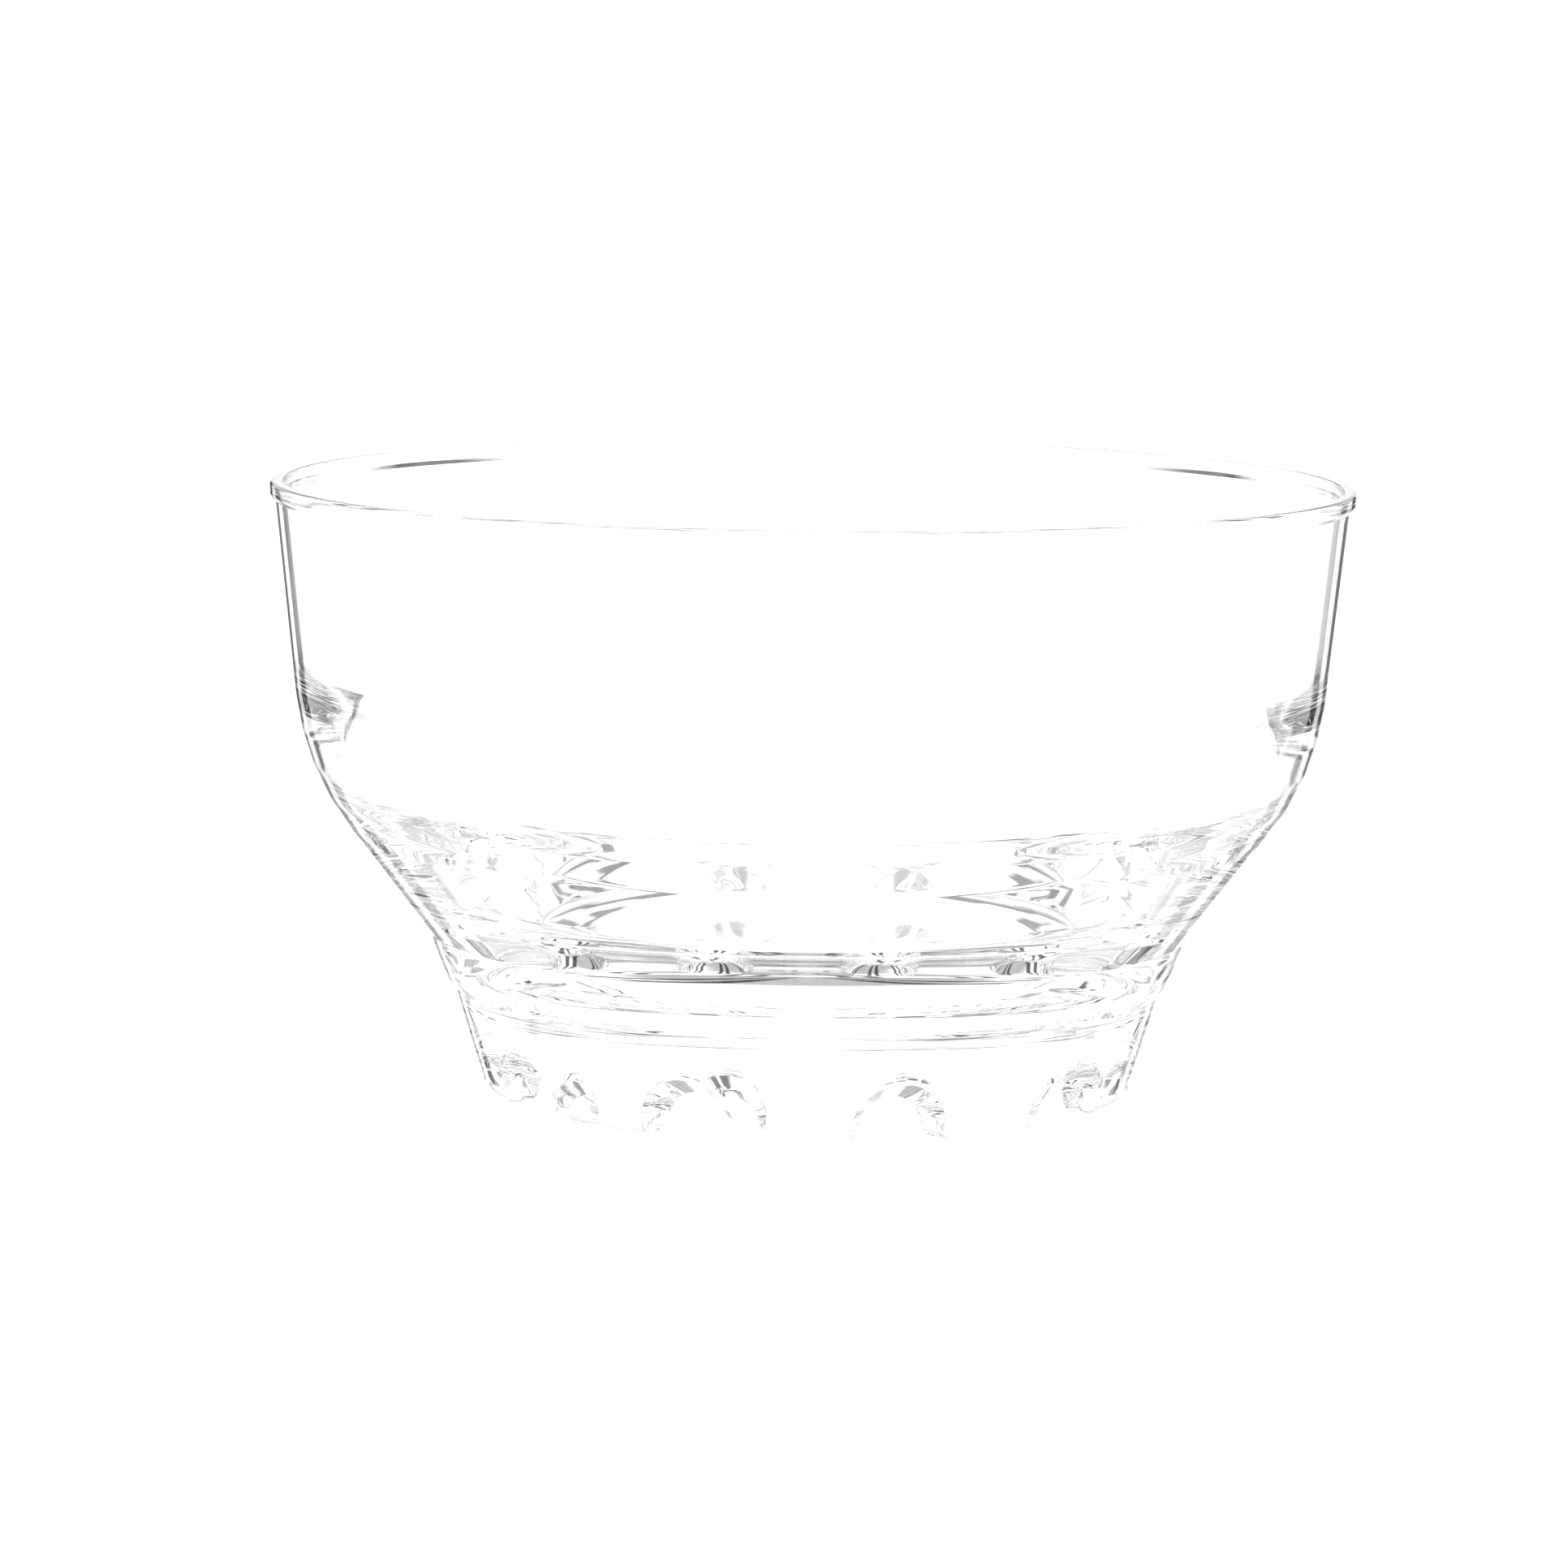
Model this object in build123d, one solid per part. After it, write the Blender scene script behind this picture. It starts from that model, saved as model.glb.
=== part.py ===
from build123d import *

import math
import os

# Footed punch bowl in clear pressed glass, one piece.
# Millimetres, +Z up. The origin is the centre of the circle that the feet stand on.

# Overall sizes. Radii and levels below are shares of these two.
RIM_RADIUS = 134.6          # widest point of the rim bead
HEIGHT = 151.4              # feet to the top of the rim

# Rim bead
BEAD_HEIGHT = 4.6           # from the rim's top to the bead's lower edge
BEAD_PROUD = 1.3            # how far the bead stands out from the wall
BEAD_ROUND = 1.1            # bead's outer corners
BEAD_FOOT_ROUND = 0.5       # hollow corner under the bead
LIP_ROUND = 0.7             # inner corner of the rim

# Upper wall: thin, and leaning out a little
UPPER_WALL = 1.9            # thickness
BREAK_RADIUS = 0.959 * RIM_RADIUS       # outside, where the wall starts to thicken
BREAK_HEIGHT = 0.7 * HEIGHT
BREAK_ROUND = 10.0

# Lower wall: the glass thickens as it turns in towards the waist
SHOULDER_RADIUS = 0.939 * RIM_RADIUS    # where the upper and lower walls would meet
SHOULDER_HEIGHT = 0.532 * HEIGHT
SHOULDER_ROUND = 66.0
WAIST_RADIUS = 0.71 * RIM_RADIUS
WAIST_HEIGHT = 0.262 * HEIGHT
WAIST_ROUND = 1.5
STEP_HEIGHT = 0.527 * HEIGHT            # bend half-way down the inside
STEP_WALL = 5.9                         # level thickness there, before rounding
STEP_ROUND = 12.0

# Floor
FLOOR_HEIGHT = 0.218 * HEIGHT           # inside floor, at the centre
FLOOR_THICKNESS = 6.0
FLOOR_RADIUS = 0.628 * WAIST_RADIUS     # where the flat floor turns up
FLOOR_ROUND = 35.0
CURVE_HEIGHT = 0.33 * HEIGHT            # where the turned-up floor meets the wall
CURVE_WALL = 8.4                        # level thickness there, before rounding
CURVE_ROUND = 25.0

# Base band between the waist and the skirt
BAND_RADIUS = WAIST_RADIUS - 4.6
BAND_FOOT_HEIGHT = 0.185 * HEIGHT
BAND_ROUND = 0.8
BAND_STEP = 2.1             # how far the skirt is set in under the band
BAND_STEP_HEIGHT = 2.4

# Skirt and foot ring, hollow underneath
SKIRT_RADIUS = BAND_RADIUS - 6.1        # at the skirt's lower edge
SKIRT_HEIGHT = 0.0806 * HEIGHT
SKIRT_ROUND = 2.0
FOOT_RADIUS = SKIRT_RADIUS - 3.9        # outside of the feet at the bottom
FOOT_THICKNESS = 6.5
FOOT_OUTER_ROUND = 2.5
FOOT_INNER_ROUND = 2.0
HOLLOW_DRAFT = 0.5          # how much narrower the hollow is at its ceiling
HOLLOW_ROUND = 3.0

# Scalloped notches between the feet
FOOT_COUNT = 10
NOTCH_OUTER_SHARE = 0.283   # notch half-width over the foot pitch, outside the ring
NOTCH_OUTER_CENTRE = -0.4   # height of the notch's axis there
NOTCH_INNER_SHARE = 0.51    # half-width inside the ring over the half-width outside
NOTCH_INNER_CENTRE = 2.3
NOTCH_OVERRUN = 6.0         # how far the cutter passes both faces of the ring


def wall_radius(height):
    """Outside radius of the lower wall, along its straight run."""
    share = (height - WAIST_HEIGHT) / (SHOULDER_HEIGHT - WAIST_HEIGHT)
    return WAIST_RADIUS + share * (SHOULDER_RADIUS - WAIST_RADIUS)


def hollow_corners():
    """Underside, from the axis down the inside of the foot ring to its outer edge."""
    foot_inner = FOOT_RADIUS - FOOT_THICKNESS
    ceiling = FLOOR_HEIGHT - FLOOR_THICKNESS
    return [
        (0, ceiling, 0),
        (foot_inner - HOLLOW_DRAFT, ceiling, HOLLOW_ROUND),
        (foot_inner, 0, FOOT_INNER_ROUND),
        (FOOT_RADIUS, 0, FOOT_OUTER_ROUND),
    ]


def outside_corners():
    """Outside, from the skirt up to the top of the rim bead."""
    bead_bottom = HEIGHT - BEAD_HEIGHT
    return [
        (SKIRT_RADIUS, SKIRT_HEIGHT, SKIRT_ROUND),
        (BAND_RADIUS - BAND_STEP, BAND_FOOT_HEIGHT - BAND_STEP_HEIGHT, BAND_ROUND),
        (BAND_RADIUS, BAND_FOOT_HEIGHT, BAND_ROUND),
        (WAIST_RADIUS, WAIST_HEIGHT, WAIST_ROUND),
        (SHOULDER_RADIUS, SHOULDER_HEIGHT, SHOULDER_ROUND),
        (RIM_RADIUS - BEAD_PROUD, bead_bottom, BEAD_FOOT_ROUND),
        (RIM_RADIUS, bead_bottom + BEAD_PROUD, BEAD_ROUND),
        (RIM_RADIUS, HEIGHT, BEAD_ROUND),
    ]


def inside_corners():
    """Inside, from the lip down to the middle of the floor."""
    return [
        (RIM_RADIUS - BEAD_PROUD - UPPER_WALL, HEIGHT, LIP_ROUND),
        (BREAK_RADIUS - UPPER_WALL, BREAK_HEIGHT, BREAK_ROUND),
        (wall_radius(STEP_HEIGHT) - STEP_WALL, STEP_HEIGHT, STEP_ROUND),
        (wall_radius(CURVE_HEIGHT) - CURVE_WALL, CURVE_HEIGHT, CURVE_ROUND),
        (FLOOR_RADIUS, FLOOR_HEIGHT, FLOOR_ROUND),
        (0, FLOOR_HEIGHT, 0),
    ]


def section():
    """Half section of the bowl."""
    corners = hollow_corners() + outside_corners() + inside_corners()
    points = [(radius, height) for radius, height, _ in corners]
    rounds = [round_off for _, _, round_off in corners[1:-1]]
    edge = FilletPolyline(*points, radius=rounds)
    axis_line = Line(edge @ 1, edge @ 0)
    return make_face([edge, axis_line])


def notch_cutter():
    """Tapered round cutter that opens one gap between two feet, along X."""
    pitch_length = 2 * math.pi * SKIRT_RADIUS / FOOT_COUNT
    outer = NOTCH_OUTER_SHARE * pitch_length
    inner = NOTCH_INNER_SHARE * outer
    outside = Vector(SKIRT_RADIUS, 0, NOTCH_OUTER_CENTRE)
    inside = Vector(FOOT_RADIUS - FOOT_THICKNESS, 0, NOTCH_INNER_CENTRE)
    span = inside - outside
    growth = (inner - outer) / span.length
    direction = span.normalized()
    start = outside - direction * NOTCH_OVERRUN
    wide = outer - growth * NOTCH_OVERRUN
    narrow = inner + growth * NOTCH_OVERRUN
    length = span.length + 2 * NOTCH_OVERRUN
    cone = Cone(wide, narrow, length, align=(Align.CENTER, Align.CENTER, Align.MIN))
    return Plane(origin=start, z_dir=direction) * cone


def bowl():
    """The whole glass: revolved body with the gaps between its feet cut out."""
    body = revolve(Plane.XZ * section(), Axis.Z)
    pitch = 360 / FOOT_COUNT
    for index in range(FOOT_COUNT):
        turn = (index + 0.5) * pitch - 90
        body -= Rot(0, 0, turn) * notch_cutter()
    return body


os.makedirs("parts", exist_ok=True)
export_step(bowl(), "parts/bowl.step")
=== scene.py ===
import math

import bmesh
import bpy
import numpy as np
from mathutils import Matrix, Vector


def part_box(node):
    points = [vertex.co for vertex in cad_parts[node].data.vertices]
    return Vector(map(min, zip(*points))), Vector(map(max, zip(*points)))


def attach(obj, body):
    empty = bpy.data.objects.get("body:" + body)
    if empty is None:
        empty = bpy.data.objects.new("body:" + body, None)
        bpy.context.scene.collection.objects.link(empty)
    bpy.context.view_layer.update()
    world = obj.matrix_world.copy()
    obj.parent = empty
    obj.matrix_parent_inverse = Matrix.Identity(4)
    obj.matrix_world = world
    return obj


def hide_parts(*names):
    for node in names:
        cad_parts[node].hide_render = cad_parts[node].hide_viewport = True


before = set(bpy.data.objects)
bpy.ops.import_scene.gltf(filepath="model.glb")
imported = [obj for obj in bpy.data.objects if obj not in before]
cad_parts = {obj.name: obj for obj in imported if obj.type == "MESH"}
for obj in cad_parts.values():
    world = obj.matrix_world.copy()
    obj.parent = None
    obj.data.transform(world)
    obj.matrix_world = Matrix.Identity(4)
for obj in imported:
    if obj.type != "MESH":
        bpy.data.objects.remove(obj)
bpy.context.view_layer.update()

# Looks of the footed punch bowl in clear pressed glass.
# The shape is in millimetres, in the frame's axes: +Z up, origin where the bowl stands.
MM = 0.001
GLASS_NODE = "bowl"


def node_size(name):
    """Largest radius and height of a CAD node, in millimetres."""
    low, high = (np.array(corner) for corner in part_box(name))
    return (high[0] - low[0]) / 2 / MM, (high[2] - low[2]) / MM


# Overall sizes, from the frame. Radii and levels below are shares of these two, as in the CAD part.
RIM_RADIUS, HEIGHT = node_size(GLASS_NODE)

# Rim bead
BEAD_HEIGHT = 4.6
BEAD_PROUD = 1.3
BEAD_ROUND = 1.1
BEAD_FOOT_ROUND = 0.5
LIP_ROUND = 0.7

# Upper wall
UPPER_WALL = 1.9
BREAK_RADIUS = 0.959 * RIM_RADIUS
BREAK_HEIGHT = 0.7 * HEIGHT
BREAK_ROUND = 10.0

# Lower wall
SHOULDER_RADIUS = 0.939 * RIM_RADIUS
SHOULDER_HEIGHT = 0.532 * HEIGHT
SHOULDER_ROUND = 66.0
WAIST_RADIUS = 0.71 * RIM_RADIUS
WAIST_HEIGHT = 0.262 * HEIGHT
WAIST_ROUND = 1.5
STEP_HEIGHT = 0.527 * HEIGHT
STEP_WALL = 5.9
STEP_ROUND = 12.0

# Floor
FLOOR_HEIGHT = 0.218 * HEIGHT
FLOOR_THICKNESS = 6.0
FLOOR_RADIUS = 0.628 * WAIST_RADIUS
FLOOR_ROUND = 35.0
CURVE_HEIGHT = 0.33 * HEIGHT
CURVE_WALL = 8.4
CURVE_ROUND = 25.0

# Base band
BAND_RADIUS = WAIST_RADIUS - 4.6
BAND_FOOT_HEIGHT = 0.185 * HEIGHT
BAND_ROUND = 0.8
BAND_STEP = 2.1
BAND_STEP_HEIGHT = 2.4

# Skirt and foot ring
SKIRT_RADIUS = BAND_RADIUS - 6.1
SKIRT_HEIGHT = 0.0806 * HEIGHT
FOOT_RADIUS = SKIRT_RADIUS - 3.9
FOOT_THICKNESS = 6.5
FOOT_OUTER_ROUND = 2.5
FOOT_INNER_ROUND = 2.0
HOLLOW_HEIGHT = FLOOR_HEIGHT - FLOOR_THICKNESS
HOLLOW_DRAFT = 0.5
HOLLOW_ROUND = 3.0

# Scalloped notches between the feet, with fire-polished edges
FOOT_COUNT = 10
NOTCH_OUTER = 0.283 * 2 * math.pi * SKIRT_RADIUS / FOOT_COUNT
NOTCH_OUTER_CENTRE = -0.4
NOTCH_INNER = 0.51 * NOTCH_OUTER
NOTCH_INNER_CENTRE = 2.3
NOTCH_SIDE_ROUND = 2.5
NOTCH_EDGE_ROUND = 1.0
NOTCH_RISE = 6.0            # notch height from which its edges have their small rounding

# Fineness of the glass mesh
PROFILE_STEP = 1.6
ARC_SEGMENTS = 8
SIDE_ANGLE = math.radians(10.6)
SIDE_SHARE = 0.62
ANGLES_PER_FOOT = 96
UNDERSIDE_STEPS = 34
OUTER_STEPS = 14
INNER_STEPS = 10
SPLIT_HEIGHT = 16.0         # the foot ring's own grid begins here, outside
HOLLOW_SPLIT = 12.0         # and ends here, inside

# Glass finish, in metres
GLASS_IOR = 1.52
TINT = (0.86, 0.93, 0.86, 1)
TINT_DENSITY = 0.6
RIPPLE_SCALE = 22
RIPPLE_STRENGTH = 0.05
RIPPLE_DEPTH = 0.0004
SCUFF_SCALE = 900
SCUFF_HEIGHT = 0.0006       # only the lowest part of the feet is scuffed

# Studio, in metres
WHITE = 1.4                 # brightness of everything white
TENT = 8.0
FLOOR_GAP = 0.0005          # floor under the feet

# What the glass shows of the studio, in degrees
PANEL_PITCH = 45            # one white panel for each eighth of a turn
GAP_TURN = 17               # from a panel's middle to the gap beside it
GAP_HALF = 2
GAP_SOFT = 2
GAP_TOP = 2                 # the gaps end a little above the horizon
GAP_TOP_SOFT = 6
GAP_LIGHT = 0.1
SIDE_TURN = 45              # from the middle of a side to a corner
CORNER_TURN = (12, 28)      # the corners darken between these turns from a side
CORNER_RISE = (28, 38)      # and between these heights
CORNER_LIGHT = 0.1
TABLE_RISE = (-45, -55)     # the table dims between these heights
TABLE_LIGHT = 0.4

# Camera
SENSOR_WIDTH = 36
LENS = 129.9
CAMERA_DISTANCE = 1.402
CAMERA_HEIGHT = 0.271
CAMERA_TURN = math.radians(2.3)
CAMERA_PITCH = math.radians(7.95)
CAMERA_YAW = math.radians(-0.265)
CAMERA_ROLL = math.radians(0.64)
GLASS_BOUNCES = 32


def arc(before, corner, after, radius):
    """Points of the arc that rounds one corner of an outline."""
    tip = np.array(corner)
    back = np.array(before) - tip
    ahead = np.array(after) - tip
    back = back / np.linalg.norm(back)
    ahead = ahead / np.linalg.norm(ahead)
    half = math.acos(np.clip(back @ ahead, -1, 1)) / 2
    middle = (back + ahead) / np.linalg.norm(back + ahead)
    centre = tip + middle * radius / math.sin(half)
    reach = radius / math.tan(half)
    first = tip + back * reach - centre
    last = tip + ahead * reach - centre
    start = math.atan2(first[1], first[0])
    turn = (math.atan2(last[1], last[0]) - start + math.pi) % (2 * math.pi) - math.pi
    count = max(3, int(abs(turn) / (math.pi / 2) * ARC_SEGMENTS) + 2)
    steps = [start + turn * k / count for k in range(count + 1)]
    return [(centre[0] + radius * math.cos(a), centre[1] + radius * math.sin(a)) for a in steps]


def rounded(corners):
    """Outline through (radius, height, rounding) corners, with each corner rounded."""
    points = [corners[0][:2]]
    for before, corner, after in zip(corners, corners[1:], corners[2:]):
        points += arc(before[:2], corner[:2], after[:2], corner[2])
    points.append(corners[-1][:2])
    return points


def refined(points):
    """The same outline with points no further apart than PROFILE_STEP."""
    result = [points[0]]
    for (r0, z0), (r1, z1) in zip(points, points[1:]):
        count = max(1, math.ceil(math.hypot(r1 - r0, z1 - z0) / PROFILE_STEP))
        result += [(r0 + (r1 - r0) * k / count, z0 + (z1 - z0) * k / count) for k in range(1, count + 1)]
    return result


def skirt_radius(height):
    """Outside radius below the band: the skirt above, the feet's taper below."""
    top = BAND_FOOT_HEIGHT - BAND_STEP_HEIGHT
    if height < SKIRT_HEIGHT:
        return FOOT_RADIUS + (SKIRT_RADIUS - FOOT_RADIUS) * height / SKIRT_HEIGHT
    share = (height - SKIRT_HEIGHT) / (top - SKIRT_HEIGHT)
    return SKIRT_RADIUS + (BAND_RADIUS - BAND_STEP - SKIRT_RADIUS) * share


def wall_radius(height):
    """Outside radius of the lower wall, along its straight run."""
    share = (height - WAIST_HEIGHT) / (SHOULDER_HEIGHT - WAIST_HEIGHT)
    return WAIST_RADIUS + share * (SHOULDER_RADIUS - WAIST_RADIUS)


def hollow_radius(height):
    """Radius of the hollow under the floor."""
    return FOOT_RADIUS - FOOT_THICKNESS - HOLLOW_DRAFT * height / HOLLOW_HEIGHT


def bowl_outline():
    """From the middle of the inside floor, up the inside, over the rim and down to the skirt."""
    wall_top = RIM_RADIUS - BEAD_PROUD
    bead_foot = HEIGHT - BEAD_HEIGHT
    corners = [
        (0, FLOOR_HEIGHT, 0),
        (FLOOR_RADIUS, FLOOR_HEIGHT, FLOOR_ROUND),
        (wall_radius(CURVE_HEIGHT) - CURVE_WALL, CURVE_HEIGHT, CURVE_ROUND),
        (wall_radius(STEP_HEIGHT) - STEP_WALL, STEP_HEIGHT, STEP_ROUND),
        (BREAK_RADIUS - UPPER_WALL, BREAK_HEIGHT, BREAK_ROUND),
        (wall_top - UPPER_WALL, HEIGHT, LIP_ROUND),
        (RIM_RADIUS, HEIGHT, BEAD_ROUND),
        (RIM_RADIUS, bead_foot + BEAD_PROUD, BEAD_ROUND),
        (wall_top, bead_foot, BEAD_FOOT_ROUND),
        (SHOULDER_RADIUS, SHOULDER_HEIGHT, SHOULDER_ROUND),
        (WAIST_RADIUS, WAIST_HEIGHT, WAIST_ROUND),
        (BAND_RADIUS, BAND_FOOT_HEIGHT, BAND_ROUND),
        (BAND_RADIUS - BAND_STEP, BAND_FOOT_HEIGHT - BAND_STEP_HEIGHT, BAND_ROUND),
        (skirt_radius(SPLIT_HEIGHT), SPLIT_HEIGHT, 0),
    ]
    return refined(rounded(corners))


def hollow_outline():
    """From the inside of the foot ring up to the middle of the hollow's ceiling."""
    corners = [
        (hollow_radius(HOLLOW_SPLIT), HOLLOW_SPLIT, 0),
        (hollow_radius(HOLLOW_HEIGHT), HOLLOW_HEIGHT, HOLLOW_ROUND),
        (0, HOLLOW_HEIGHT, 0),
    ]
    return refined(rounded(corners))


def underside(radius, angle):
    """Height of the ring's underside, 0 on a foot. The angle is from a notch's middle."""
    across = abs(radius * math.sin(angle))
    share = (SKIRT_RADIUS - radius * math.cos(angle)) / (SKIRT_RADIUS - FOOT_RADIUS + FOOT_THICKNESS)
    notch = NOTCH_OUTER + (NOTCH_INNER - NOTCH_OUTER) * share
    centre = NOTCH_OUTER_CENTRE + (NOTCH_INNER_CENTRE - NOTCH_OUTER_CENTRE) * share
    edge = max(NOTCH_SIDE_ROUND, centre)
    reach = math.sqrt(max((notch + edge) ** 2 - (edge - centre) ** 2, 0))
    if across >= reach:
        return 0.0
    if across > reach * notch / (notch + edge):
        return edge - math.sqrt(max(edge**2 - (across - reach) ** 2, 0))
    return centre + math.sqrt(max(notch**2 - across**2, 0))


def edge_round(height, on_foot):
    """Rounding of the ring's edge, full on a foot and small at the top of a notch."""
    share = min(height / NOTCH_RISE, 1)
    return on_foot * (1 - share) + NOTCH_EDGE_ROUND * share


def softened(distance, radius):
    """How far a rounded edge rises at a distance from the face beside it."""
    if distance >= radius:
        return 0.0
    return radius - math.sqrt(radius**2 - (radius - distance) ** 2)


def foot_section(angle):
    """Section of the foot ring, down the outside, across the underside and up the inside."""
    outer_height = underside(skirt_radius(NOTCH_RISE), angle)
    outer_height = underside(skirt_radius(outer_height), angle)
    inner_height = underside(FOOT_RADIUS - FOOT_THICKNESS, angle)
    outer_round = edge_round(outer_height, FOOT_OUTER_ROUND)
    inner_round = edge_round(inner_height, FOOT_INNER_ROUND)
    start = outer_height + outer_round
    end = inner_height + inner_round
    outside = skirt_radius(start)
    inside = hollow_radius(end)
    heights = np.linspace(SPLIT_HEIGHT, start, OUTER_STEPS + 1)[1:-1]
    section = [(skirt_radius(height), height) for height in heights]
    for k in range(UNDERSIDE_STEPS + 1):
        share = (1 - math.cos(math.pi * k / UNDERSIDE_STEPS)) / 2
        radius = outside + (inside - outside) * share
        lift = softened(outside - radius, outer_round) + softened(radius - inside, inner_round)
        section.append((radius, underside(radius, angle) + lift))
    heights = np.linspace(end, HOLLOW_SPLIT, INNER_STEPS + 1)[1:]
    section += [(hollow_radius(height), height) for height in heights]
    return section


def notch_angles():
    """Angles across one pitch, from a notch's middle, closest together on its sides."""
    half_pitch = math.pi / FOOT_COUNT
    angles = []
    for share in np.linspace(-1, 1, ANGLES_PER_FOOT + 1)[:-1]:
        size = abs(share)
        if size < SIDE_SHARE:
            angle = math.sin(size / SIDE_SHARE * math.pi / 2) * SIDE_ANGLE
        else:
            angle = SIDE_ANGLE + (half_pitch - SIDE_ANGLE) * (size - SIDE_SHARE) / (1 - SIDE_SHARE)
        angles.append(math.copysign(angle, share))
    return angles


def glass_points():
    """Rings of points, one row per angle, and the two points on the axis."""
    pitch = 2 * math.pi / FOOT_COUNT
    outline = bowl_outline()
    hollow = hollow_outline()
    local = notch_angles()
    sections = [outline[1:] + foot_section(angle) + hollow[1:-1] for angle in local]
    sections = np.array(sections * FOOT_COUNT)
    turns = np.array([(k + 0.5) * pitch + angle for k in range(FOOT_COUNT) for angle in local])
    radius = sections[..., 0]
    x = radius * np.sin(turns)[:, None]
    y = -radius * np.cos(turns)[:, None]
    rings = np.stack([x, y, sections[..., 1]], -1) * MM
    return rings, (0, 0, outline[0][1] * MM), (0, 0, hollow[-1][1] * MM)


def glass_mesh(name):
    """The whole glass as one closed mesh."""
    rings, floor_middle, ceiling_middle = glass_points()
    turns, along = rings.shape[:2]
    build = bmesh.new()
    rows = [[build.verts.new(point) for point in ring] for ring in rings]
    top = build.verts.new(floor_middle)
    bottom = build.verts.new(ceiling_middle)
    for k in range(turns):
        row = rows[k]
        following = rows[(k + 1) % turns]
        build.faces.new((top, row[0], following[0]))
        build.faces.new((bottom, following[-1], row[-1]))
        for j in range(along - 1):
            build.faces.new((row[j], row[j + 1], following[j + 1], following[j]))
    bmesh.ops.recalc_face_normals(build, faces=build.faces)
    for face in build.faces:
        face.smooth = True
    mesh = bpy.data.meshes.new(name)
    build.to_mesh(mesh)
    build.free()
    piece = bpy.data.objects.new(name, mesh)
    bpy.context.scene.collection.objects.link(piece)
    return piece


def node(tree, kind, **values):
    """A node with the given values on its inputs; a linked input takes another node's output."""
    made = tree.nodes.new(kind)
    for name, value in values.items():
        socket = made.inputs[name.replace("_", " ")]
        if isinstance(value, bpy.types.NodeSocket):
            tree.links.new(value, socket)
        else:
            socket.default_value = value
    return made


def maths(tree, operation, *values):
    """A Math node's result."""
    made = tree.nodes.new("ShaderNodeMath")
    made.operation = operation
    for socket, value in zip(made.inputs, values):
        if isinstance(value, bpy.types.NodeSocket):
            tree.links.new(value, socket)
        else:
            socket.default_value = value
    return made.outputs[0]


def fade(tree, value, start, end, first, last):
    """Goes smoothly from first to last as the value goes from start to end."""
    made = node(tree, "ShaderNodeMapRange", Value=value, From_Min=start, From_Max=end)
    made.inputs["To Min"].default_value = first
    made.inputs["To Max"].default_value = last
    made.interpolation_type = "SMOOTHSTEP"
    return made.outputs[0]


def clear_glass():
    """Pressed clear glass: a faint mould ripple, scuffs under the feet and a slight tint in its depth."""
    material = bpy.data.materials.new("clear_glass")
    material.use_nodes = True
    tree = material.node_tree
    links = tree.links
    shader = tree.nodes["Principled BSDF"]
    shader.inputs["Base Color"].default_value = (1, 1, 1, 1)
    shader.inputs["IOR"].default_value = GLASS_IOR
    shader.inputs["Transmission Weight"].default_value = 1
    place = tree.nodes.new("ShaderNodeTexCoord").outputs["Object"]

    ripple = node(tree, "ShaderNodeTexNoise", Vector=place, Scale=RIPPLE_SCALE, Detail=1)
    bump = node(tree, "ShaderNodeBump", Height=ripple.outputs["Fac"], Strength=RIPPLE_STRENGTH)
    bump.inputs["Distance"].default_value = RIPPLE_DEPTH
    links.new(bump.outputs["Normal"], shader.inputs["Normal"])

    height = node(tree, "ShaderNodeSeparateXYZ", Vector=place).outputs["Z"]
    scuff = node(tree, "ShaderNodeTexNoise", Vector=place, Scale=SCUFF_SCALE, Detail=3)
    worn = fade(tree, height, SCUFF_HEIGHT, 0, 0, 1)
    rough = maths(tree, "MULTIPLY", worn, scuff.outputs["Fac"])
    links.new(rough, shader.inputs["Roughness"])

    depth = node(tree, "ShaderNodeVolumeAbsorption", Color=TINT, Density=TINT_DENSITY)
    links.new(depth.outputs["Volume"], tree.nodes["Material Output"].inputs["Volume"])
    return material


def glowing_white(name, see_through_from_behind):
    """Plain white that gives its own light, if wanted only on its front."""
    material = bpy.data.materials.new(name)
    material.use_nodes = True
    tree = material.node_tree
    tree.nodes.clear()
    glow = node(tree, "ShaderNodeEmission", Strength=WHITE)
    output = tree.nodes.new("ShaderNodeOutputMaterial")
    surface = glow.outputs[0]
    if see_through_from_behind:
        mix = tree.nodes.new("ShaderNodeMixShader")
        behind = tree.nodes.new("ShaderNodeNewGeometry").outputs["Backfacing"]
        clear = tree.nodes.new("ShaderNodeBsdfTransparent")
        for socket, value in zip(mix.inputs, (behind, surface, clear.outputs[0])):
            tree.links.new(value, socket)
        surface = mix.outputs[0]
    tree.links.new(surface, output.inputs["Surface"])
    return material


def set_piece(name, build, see_through_from_behind):
    """A part of the studio, seen by the camera and not through the glass."""
    mesh = bpy.data.meshes.new(name)
    build.to_mesh(mesh)
    build.free()
    made = bpy.data.objects.new(name, mesh)
    bpy.context.scene.collection.objects.link(made)
    mesh.materials.append(glowing_white(name + "_white", see_through_from_behind))
    made.visible_transmission = False
    made.visible_glossy = False


def white_studio():
    """A plain white floor inside a plain white tent."""
    build = bmesh.new()
    corners = [(-1, -1), (1, -1), (1, 1), (-1, 1)]
    build.faces.new([build.verts.new((x * TENT, y * TENT, -FLOOR_GAP)) for x, y in corners])
    set_piece("floor", build, True)
    build = bmesh.new()
    bmesh.ops.create_icosphere(build, subdivisions=4, radius=2 * TENT)
    set_piece("tent", build, False)


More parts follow.
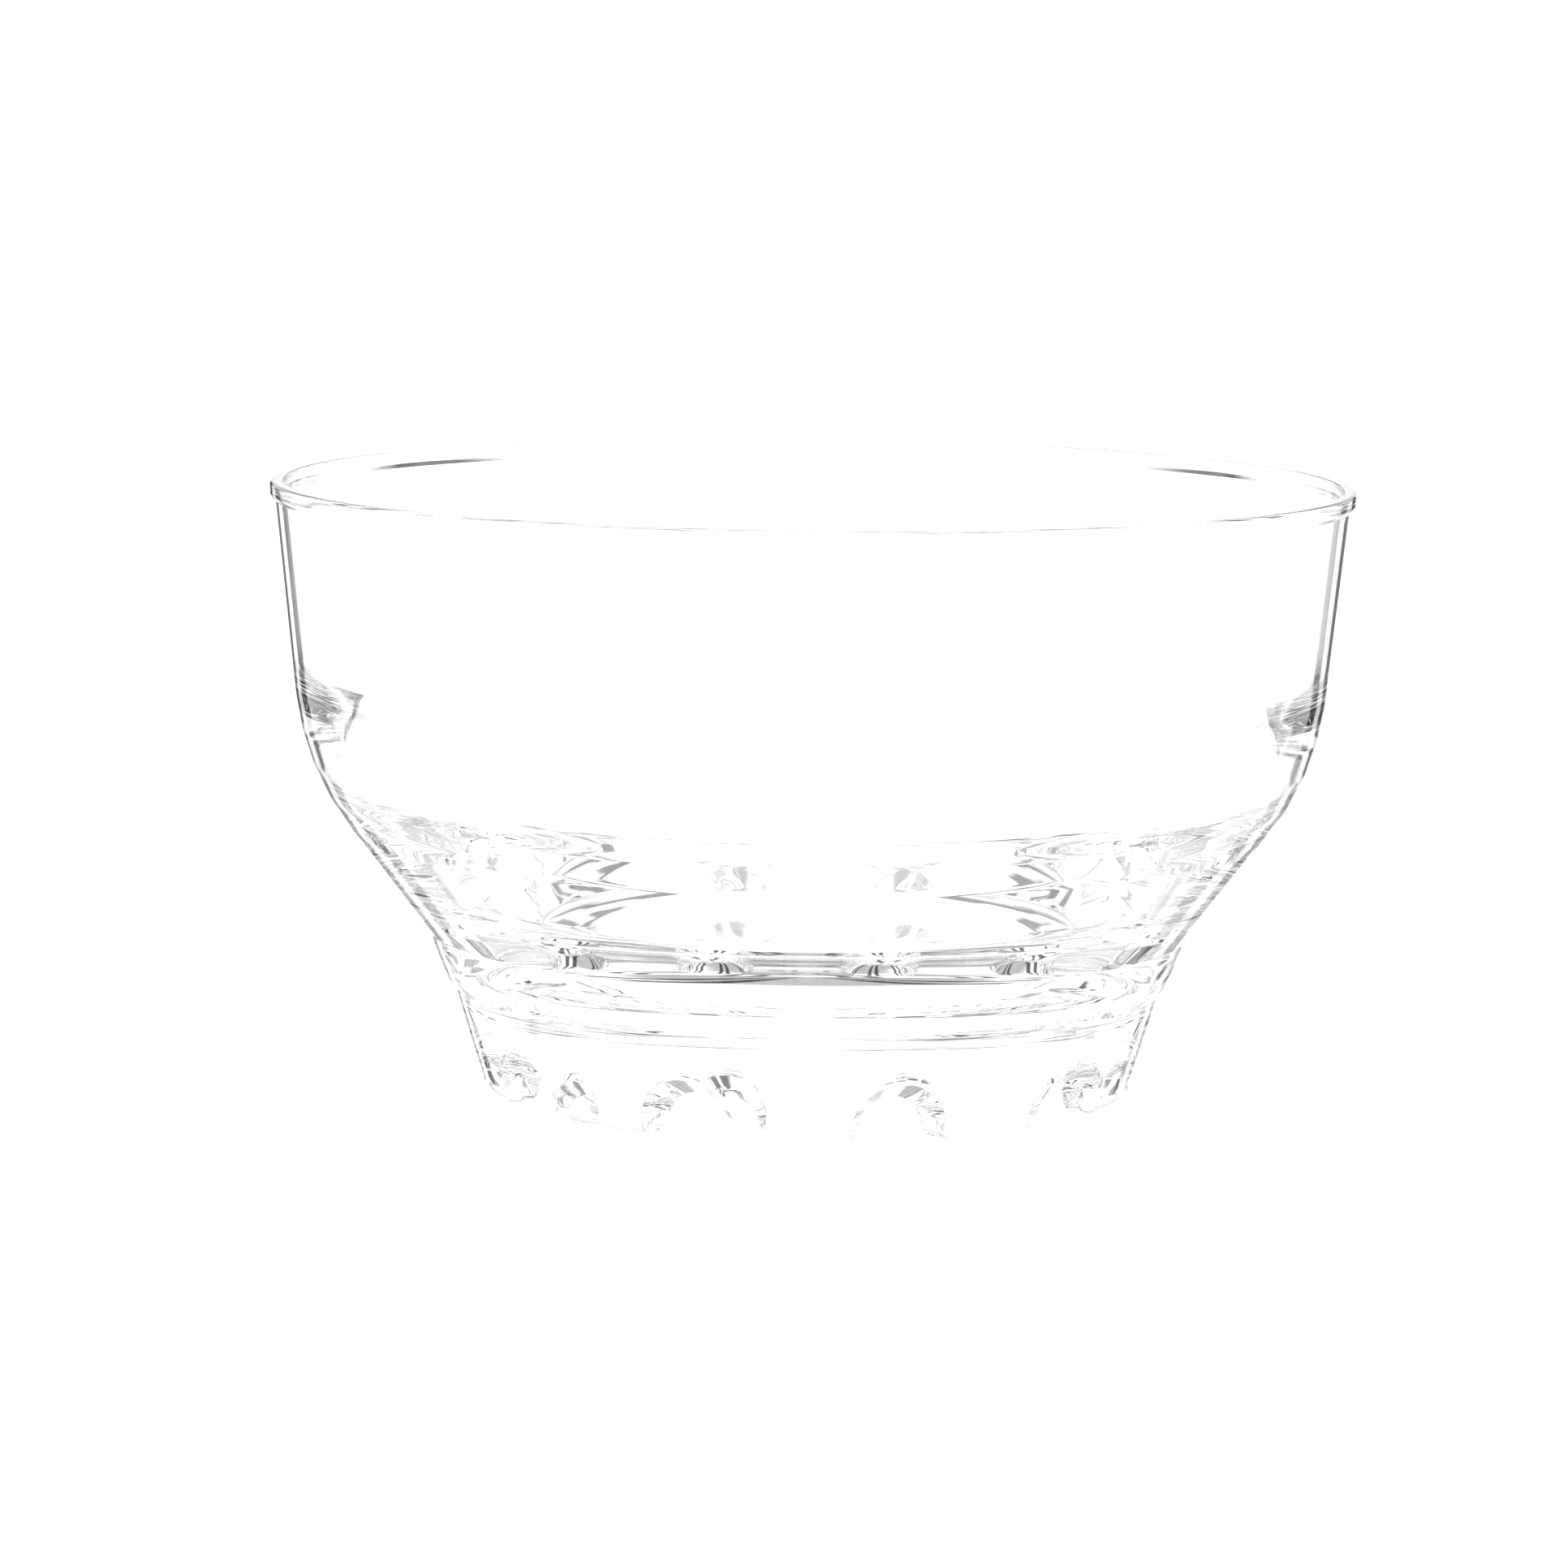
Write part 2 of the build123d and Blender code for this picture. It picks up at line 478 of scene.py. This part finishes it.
def lights_through_glass():
    """What the glass shows of the studio: white panels all round, with narrow dark gaps between
    them, dark corners overhead and a dimmer table underneath."""
    world = bpy.data.worlds.new("studio")
    bpy.context.scene.world = world
    world.use_nodes = True
    tree = world.node_tree
    place = tree.nodes.new("ShaderNodeTexCoord").outputs["Generated"]
    x, y, z = node(tree, "ShaderNodeSeparateXYZ", Vector=place).outputs
    turn = maths(tree, "DEGREES", maths(tree, "ARCTAN2", x, y))
    rise = maths(tree, "DEGREES", maths(tree, "ARCSINE", z))

    from_panel = maths(tree, "PINGPONG", turn, PANEL_PITCH / 2)
    from_gap = maths(tree, "ABSOLUTE", maths(tree, "SUBTRACT", from_panel, GAP_TURN))
    gaps = fade(tree, from_gap, GAP_HALF, GAP_HALF + GAP_SOFT, GAP_LIGHT, 1)
    over_gaps = fade(tree, rise, GAP_TOP, GAP_TOP + GAP_TOP_SOFT, 0, 1)
    gaps = maths(tree, "MAXIMUM", gaps, over_gaps)

    from_side = maths(tree, "PINGPONG", turn, SIDE_TURN)
    corners = fade(tree, from_side, *CORNER_TURN, 1, CORNER_LIGHT)
    under_corners = fade(tree, rise, *CORNER_RISE, 1, 0)
    corners = maths(tree, "MAXIMUM", corners, under_corners)

    table = fade(tree, rise, *TABLE_RISE, 1, TABLE_LIGHT)
    light = maths(tree, "MULTIPLY", maths(tree, "MULTIPLY", gaps, corners), table)
    background = tree.nodes["Background"]
    tree.links.new(light, background.inputs["Color"])
    background.inputs["Strength"].default_value = WHITE


def photo_camera():
    """Camera at the photograph's viewing angle, a little above the rim and well back."""
    data = bpy.data.cameras.new("camera")
    data.sensor_width = SENSOR_WIDTH
    data.lens = LENS
    camera = bpy.data.objects.new("camera", data)
    bpy.context.scene.collection.objects.link(camera)
    stand = Matrix.Rotation(CAMERA_TURN, 4, "Z") @ Matrix.Translation((0, -CAMERA_DISTANCE, CAMERA_HEIGHT))
    heading = Matrix.Rotation(-CAMERA_YAW, 4, "Z") @ Matrix.Rotation(math.pi / 2 - CAMERA_PITCH, 4, "X")
    camera.matrix_world = stand @ heading @ Matrix.Rotation(CAMERA_ROLL, 4, "Z")
    bpy.context.scene.camera = camera


def deep_light_paths():
    """Enough bounces for light to find its way out of thick glass, and plain whites."""
    scene = bpy.context.scene
    scene.view_settings.view_transform = "Standard"
    scene.cycles.max_bounces = GLASS_BOUNCES
    scene.cycles.transmission_bounces = GLASS_BOUNCES
    scene.cycles.glossy_bounces = GLASS_BOUNCES


bowl = glass_mesh("bowl_glass")
bowl.data.materials.append(clear_glass())
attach(bowl, "root")
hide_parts(GLASS_NODE)
white_studio()
lights_through_glass()
photo_camera()
deep_light_paths()
